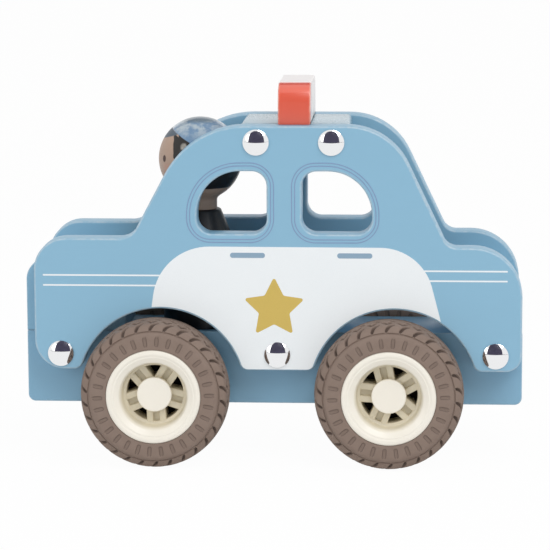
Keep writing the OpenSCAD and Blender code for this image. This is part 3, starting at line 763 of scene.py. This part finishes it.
def spokePairParts():   # two bars and the shallow floor between them, reaching out along the first axis
    front, web = wheel["spokeFront"], wheel["webBack"]
    root, tip = spokes["root"], wheel["mouth"] + spokes["lap"]
    (rootNear, rootFar), (tipNear, tipFar) = spokes["rootSpan"], spokes["tipSpan"]
    shells = []
    for way in (-1, 1):
        side = [(root, way * rootNear), (tip, way * tipNear), (tip, way * tipFar), (root, way * rootFar)]
        shells.append(slabParts([side], web, front, spokes["edge"], 3)[:2])
    rootHalf, tipHalf = spokes["floorHalf"]
    floor = [(root, -rootHalf), (tip, -tipHalf), (tip, tipHalf), (root, rootHalf)]
    shells.append(slabParts([floor], web, front - spokes["floorDrop"], spokes["floorEdge"], 1)[:2])
    return joined(*shells)


hub = dict(radius=6.6, backRadius=5.8, frontRadius=6.2, backEdge=0.8, frontEdge=0.6, past=1.0, segments=64)


def hubSection():
    r, front, back = hub["radius"], wheel["hubFront"], -(halfWidth + hub["past"])
    return [(0.0, back), (hub["backRadius"], back), (r, back + hub["backEdge"]),
            (r, front - hub["frontEdge"]), (hub["frontRadius"], front), (0.0, front)]


hubCap = dict(radius=7.0, thick=2.0, peg=2.0, pegLength=1.0, foot=0.2, edge=0.6, flat=1.0, crown=0.06,
              segments=96, sharp=50)


def capSection():
    r, edge, base = hubCap["radius"], hubCap["edge"], wheel["hubFront"]
    top, low = base + hubCap["thick"], base - hubCap["pegLength"]
    points = [(0.0, low), (hubCap["peg"], low), (hubCap["peg"], base)]
    points += [(r - hubCap["foot"], base), (r, base + hubCap["foot"])]
    points += arc((r - edge, top - edge), edge, 0, 90, 15)
    return points + [(r - hubCap["flat"], top), (0.0, top + hubCap["crown"])]


def wheelPlace(x, side):
    def place(v):
        return (x + v[0], side * (wheel["middle"] + v[2]), car["axleZ"] - side * v[1])
    return place


def wheelPiece(name, place, shell, finish, sharp, weights=None):
    verts, faces = shell
    return newMesh(name, [place(v) for v in verts], faces, finish, weights=weights, sharp=sharp)


tyreShell, tyreGrooveShade = tyreParts()
rimShell = joined(latheParts(rimSection(), rim["segments"], True), latheParts(hubSection(), hub["segments"]))
backShadeShell = latheParts(backShadeSection(), backShade["segments"], True)
capShell = latheParts(capSection(), hubCap["segments"])
spokePair = newMesh("spokePair", *spokePairParts(), finishRimShaded, sharp=spokes["sharp"])
for end, way, turned in (("front", -1, spokes["frontTurn"]), ("rear", 1, spokes["rearTurn"])):
    for side, hand in sides:
        name, node, body = end + hand.capitalize(), end + "_" + hand, end + "_wheels"
        place = wheelPlace(way * car["wheelbase"] / 2, side)
        made = wheelPiece(name + "Tyre", place, tyreShell, finishRubber, tyre["sharp"], {"groove": tyreGrooveShade})
        settle(made, body, "tyre_brown", node + "_tyre")
        # a dark disc behind the spokes, painted shade seen through their holes
        made = wheelPiece(name + "Liner", place, backShadeShell, finishBackShade, backShade["sharp"])
        settle(made, body, "tyre_brown")
        made = wheelPiece(name + "Rim", place, rimShell, finishRimShaded, rim["sharp"])
        settle(made, body, "rim_cream", node + "_rim")
        turns = [turned + 360 / spokes["pairs"] * k for k in range(spokes["pairs"])]
        spots = [(place((0, 0, 0)), (-90 * side, side * turn, 0)) for turn in turns]
        settle(spread(name + "Spokes", spokePair, spots, finishRimShaded), body, "rim_cream")
        made = wheelPiece(name + "HubCap", place, capShell, finishCream, hubCap["sharp"])
        settle(made, body, "rim_cream", node + "_hub_cap")
bpy.data.objects.remove(spokePair)
print("wheels made:", len(tyreShell[1]), "faces in a tyre")


# driver

headLow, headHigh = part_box("driver_head")
driver = dict(x=(headLow[0] + headHigh[0]) / 2 / mm, headZ=121.0, headRadius=17.0, headSteps=72,
              neck=6.7, neckSunk=1.0, fillet=1.6, filletOut=1.4, filletUp=1.9,
              collarZ=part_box("driver_body")[1][2] / mm, seatZ=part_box("driver_body")[0][2] / mm,
              bodyRadius=15.5, foot=1.0, collar=8.5, collarEdge=((0.3, 0.35), (1.0, 0.0)),
              shoulders=26.0, shoulderGap=1.0, shoulderSteps=24, segments=128, sharp=40)
face = dict(soft=0.012, capSlope=0.6, capEdge=0.353, partEdge=0.302, partFront=0.46,   # places in head radii
            brimSlope=0.361, brimEdge=0.813, brimFront=0.44,
            hairEdge=-0.58, hairLow=-0.66, napeTop=0.10, napeSweep=0.9,
            eye=(-0.815, 0.577, 0.055), eyeRadius=0.084, eyeSoft=0.014, eyeSquash=1.5,
            smileZ=-0.30, smileCurve=0.9, smileHalf=0.016, smileSoft=0.012, smileEnd=0.20,
            blush=(0.66, -0.20), blushRadius=0.12, blushSoft=0.10,
            hairGlint=(-0.32, 0.862, 0.37), hairGlintRadius=0.085, hairGlintSoft=0.03)


def square(wire):
    return wire * wire


def paintedHead():
    f = Finish("paintedHead", IOR=1.4, Coat_Roughness=0.08)
    radius, soft = driver["headRadius"], face["soft"]
    spot = f.place((1 / (radius * mm),) * 3, tuple(-c / radius for c in (driver["x"], 0, driver["headZ"])))
    x, y, z = f.outputs("ShaderNodeSeparateXYZ", "XYZ", {"Vector": spot})
    away, front = abs(y), 0.0 - x
    wobble = f.cloud(spot, 5.0, detail=2.0) - 0.5
    patch = f.cloud(spot, 7.0, detail=4.0)
    fibre = f.cloud(f.place((300, 300, 30)), 3.0, detail=4.0)
    strands = f.cloud(f.place((500, 500, 60)), 3.0)
    dapple = f.cloud(spot, 4.2, detail=5.0, rough=0.62)

    slope = z + face["capSlope"] * x
    cap = (slope + 0.03 * wobble).over(face["capEdge"], soft)
    brim = (z - face["brimSlope"] * x + 0.02 * wobble).over(face["brimEdge"], soft)
    brim = brim * front.over(face["brimFront"], soft)
    parting = slope.over(face["partEdge"], soft) * front.over(face["partFront"], soft)   # skin under the cap
    nape = face["napeSweep"] * (face["napeTop"] - z).most(0.0)
    hair = (x - nape + 0.06 * wobble).over(face["hairEdge"], soft) * z.over(face["hairLow"], soft)
    hair = hair * (1.0 - parting)

    eyeX, eyeY, eyeZ = face["eye"]
    gap = ((square(x - eyeX) + square(away - eyeY)) * face["eyeSquash"] + square(z - eyeZ)) ** 0.5
    eye = 1.0 - gap.over(face["eyeRadius"], face["eyeSoft"])
    bow = abs(z - face["smileZ"] - face["smileCurve"] * y * y)
    smile = (1.0 - bow.over(face["smileHalf"], face["smileSoft"])) * (1.0 - away.over(face["smileEnd"], 0.02))
    smile = smile * front.over(0.5, 0.05)
    blushY, blushZ = face["blush"]
    gap = (square(away - blushY) + square(z - blushZ)) ** 0.5
    blush = (1.0 - gap.over(face["blushRadius"], face["blushSoft"])) * front.over(0.3, 0.1)
    # painted highlight: a pale glint on the hair beside the cap
    hairGlintX, hairGlintY, hairGlintZ = face["hairGlint"]
    gap = (square(x - hairGlintX) + square(away - hairGlintY) + square(z - hairGlintZ)) ** 0.5
    hairGlint = 1.0 - (gap + 0.12 * wobble).over(face["hairGlintRadius"], face["hairGlintSoft"])

    tone = f.mix(patch * 0.5 + fibre * 0.2, paint(184, 157, 139), paint(172, 145, 128))   # skin
    tone = f.mix(blush * 0.35, tone, paint(214, 150, 132))
    tone = f.mix(smile * 0.8, tone, paint(138, 84, 70))
    tone = f.mix(eye, tone, paint(66, 42, 33))
    tone = f.mix(hair * (1.0 - eye), tone, f.mix(strands, paint(12, 10, 9), paint(34, 28, 24)))
    tone = f.mix(hairGlint * (0.25 + 0.6 * strands), tone, paint(196, 190, 180))
    tone = f.mix(brim * (1.0 - cap), tone, f.mix(patch, paint(84, 98, 110), paint(70, 84, 98)))
    highlight = dapple.over(0.49, 0.14) * z.over(0.62, 0.18)   # painted reflection: a pale cloud on the crown of the cap
    blue = f.mix(highlight, f.mix(patch, paint(92, 128, 163), paint(106, 140, 172)), paint(172, 187, 196))
    blue = f.mix(z.over(0.91, 0.05) * 0.85, blue, paint(106, 121, 130))   # greyer at the very top
    f.feed("Base Color", f.mix(cap, tone, blue))
    f.feed("Coat Weight", cap.most(hair * 0.15) * (0.8 - 0.5 * z.over(0.88, 0.08)) + 0.1)
    f.feed("Roughness", 0.44 - 0.20 * cap + 0.10 * patch)
    relief = fibre * 0.4 + dapple * cap * 0.6 + cap * 0.5 + hair * 0.35 * (1.0 - cap)
    f.bump(relief, strength=0.2, distance=0.0003)
    return f.material


def headSection():   # the neck, a fillet and the ball of the head
    neck, radius, top = driver["neck"], driver["headRadius"], driver["headZ"]
    base = driver["collarZ"] - driver["neckSunk"]
    bend = top - math.sqrt(radius ** 2 - neck ** 2) - driver["fillet"]
    section = [(0.0, base), (neck, base), (neck, bend)]
    section += [(neck + driver["filletOut"] * (1 - math.cos(a)), bend + driver["filletUp"] * math.sin(a))
                for a in map(math.radians, (20, 40, 60))]
    low = math.degrees(math.asin((neck + driver["fillet"]) / radius))
    section += [(radius * math.sin(a), top - radius * math.cos(a))
                for a in map(math.radians, np.linspace(low, 180, driver["headSteps"]))]
    section[-1] = (0.0, top + radius)
    return section


def bodySection():   # the foot in the seat, the shoulders and the collar
    r, foot, collar = driver["bodyRadius"], driver["foot"], driver["collar"]
    low, high, steps = driver["seatZ"], driver["collarZ"], driver["shoulderSteps"]
    section = [(0.0, low)] + arc((r - foot, low + foot), foot, -90, 0, 30)
    section += [(collar + (r - collar) * math.cos(math.pi / 2 * k / steps),
                 high - driver["shoulderGap"] - driver["shoulders"] * (1 - k / steps))
                for k in range(steps + 1)]
    section += [(collar - inward, high - drop) for inward, drop in driver["collarEdge"]]
    return section + [(0.0, high)]


headPiece = ("driverHead", headSection(), paintedHead(), "driver_skin", "driver_head")
bodyPiece = ("driverBody", bodySection(), finishNavy, "driver_navy", "driver_body")
for name, section, finish, slotName, node in (headPiece, bodyPiece):
    verts, faces = latheParts(section, driver["segments"])
    verts = [(v[0] + driver["x"], v[1], v[2]) for v in verts]
    settle(newMesh(name, verts, faces, finish, sharp=driver["sharp"]), "driver", slotName, node)
print("driver made")


# inner pieces kept as they are, with a finish for the last word of their names

inner = dict(axle=finishSteel, bush=finishNylon, dowels=finishBeech)
for node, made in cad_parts.items():
    finish = inner.get(node.split("_")[-1])
    if finish:
        for materialSlot in made.material_slots:
            materialSlot.material = finish


# floor, light and camera, in metres

studio = dict(floor=8.0, floorShown=0.97, world=0.54,
              rays=("Is Camera Ray", "Is Glossy Ray", "Is Transmission Ray"))
plainWhite = (1, 1, 1, 1)


def stageMesh(name, verts, faces, finish):
    mesh = bpy.data.meshes.new(name)
    mesh.from_pydata(verts, [], faces)
    mesh.materials.append(finish.material)
    made = bpy.data.objects.new(name, mesh)
    scene.collection.objects.link(made)
    return made


pale = Finish("studioFloor", Roughness=0.9, Base_Color=paint(246, 246, 246), Specular_IOR_Level=0.1)
seen, shine, clear = pale.outputs("ShaderNodeLightPath", studio["rays"])
glow = pale.node("ShaderNodeEmission", None, {"Color": plainWhite, "Strength": 1.0})
shown = (seen + shine + clear).least(1.0) * studio["floorShown"]
blend = pale.node("ShaderNodeMixShader", None, {0: shown, 1: Wire(pale, pale.shader.outputs[0]), 2: glow})
pale.tree.links.new(blend.socket, pale.tree.nodes["Material Output"].inputs["Surface"])
reach = studio["floor"]
corners = [(-reach, -reach, 0), (reach, -reach, 0), (reach, reach, 0), (-reach, reach, 0)]
floor = stageMesh("studioFloor", corners, [(0, 1, 2, 3)], pale)

flags = dict(away=0.6, farLow=0.5, cardHalf=((0.55, 0.085), (0.52, 0.72), (0.42, 0.96), (0.25, 1.08)),
             line=((1.6, 0.066), (1.6, 0.085), (-1.6, 0.085), (-1.6, 0.066)))
card = list(flags["cardHalf"]) + [(-x, z) for x, z in reversed(flags["cardHalf"])]
farCard = [(x, max(z, flags["farLow"])) for x, z in card]
spots, cards = [], []
for way, loop in ((-1, card), (-1, flags["line"]), (1, farCard)):
    cards.append(tuple(range(len(spots), len(spots) + len(loop))))
    spots += [(x, way * flags["away"], z) for x, z in loop]
dark = Finish("studioFlags", Base_Color=paint(82, 78, 102), Roughness=0.8)
flag = stageMesh("studioFlags", spots, cards, dark)   # on both sides, seen only in polished metal
flag.visible_camera = flag.visible_diffuse = flag.visible_shadow = False

world = bpy.data.worlds.new("studioWorld")
scene.world = world
world.use_nodes = True
sky = world.node_tree
back = sky.nodes["Background"]
white = sky.nodes.new("ShaderNodeBackground")
for node, strength in ((back, studio["world"]), (white, 1.0)):
    node.inputs["Color"].default_value = plainWhite
    node.inputs["Strength"].default_value = strength
rays = sky.nodes.new("ShaderNodeLightPath")
shown = rays.outputs[studio["rays"][0]]
for kind in studio["rays"][1:]:
    most = sky.nodes.new("ShaderNodeMath")
    most.operation = "MAXIMUM"
    sky.links.new(shown, most.inputs[0])
    sky.links.new(rays.outputs[kind], most.inputs[1])
    shown = most.outputs[0]
pick = sky.nodes.new("ShaderNodeMixShader")
for k, socket in enumerate((shown, back.outputs[0], white.outputs[0])):
    sky.links.new(socket, pick.inputs[k])
sky.links.new(pick.outputs[0], sky.nodes["World Output"].inputs["Surface"])

keyLamp = dict(place=(0.55, -0.75, 1.1), aim=(0, 0, 0.06), size=0.9, power=7.7)
fillLamp = dict(place=(-0.8, -0.9, 0.5), aim=(0, 0, 0.07), size=0.8, power=2.6)


def lamp(name, place, aim, size, power):
    data = bpy.data.lights.new(name, "AREA")
    data.shape = "DISK"
    data.size = size
    data.energy = power
    made = bpy.data.objects.new(name, data)
    made.location = place
    made.rotation_euler = (Vector(aim) - Vector(place)).to_track_quat("-Z", "Y").to_euler()
    scene.collection.objects.link(made)


lamp("keyLamp", **keyLamp)
lamp("fillLamp", **fillLamp)

view = dict(yaw=3.36, pitch=9.46, roll=-0.2, distance=1.083, aim=(0.0012, -0.0285, 0.0775),
            focus=2707.0, pixels=550, sensor=36.0, clip=20)   # focus and pixels as in the photo
yaw, pitch = math.radians(view["yaw"]), math.radians(view["pitch"])
ahead = Vector((-math.sin(yaw) * math.cos(pitch), math.cos(yaw) * math.cos(pitch), -math.sin(pitch)))
lens = bpy.data.cameras.new("studioCamera")
lens.sensor_width = view["sensor"]
lens.lens = view["focus"] * view["sensor"] / view["pixels"]
lens.clip_end = view["clip"]
camera = bpy.data.objects.new("studioCamera", lens)
camera.location = Vector(view["aim"]) - ahead * view["distance"]
turn = ahead.to_track_quat("-Z", "Y").to_matrix().to_4x4()
camera.rotation_euler = (turn @ Matrix.Rotation(math.radians(view["roll"]), 4, "Z")).to_euler()
scene.collection.objects.link(camera)
scene.camera = camera
scene.view_settings.view_transform = "Standard"
print("studio made")

bpy.context.view_layer.update()
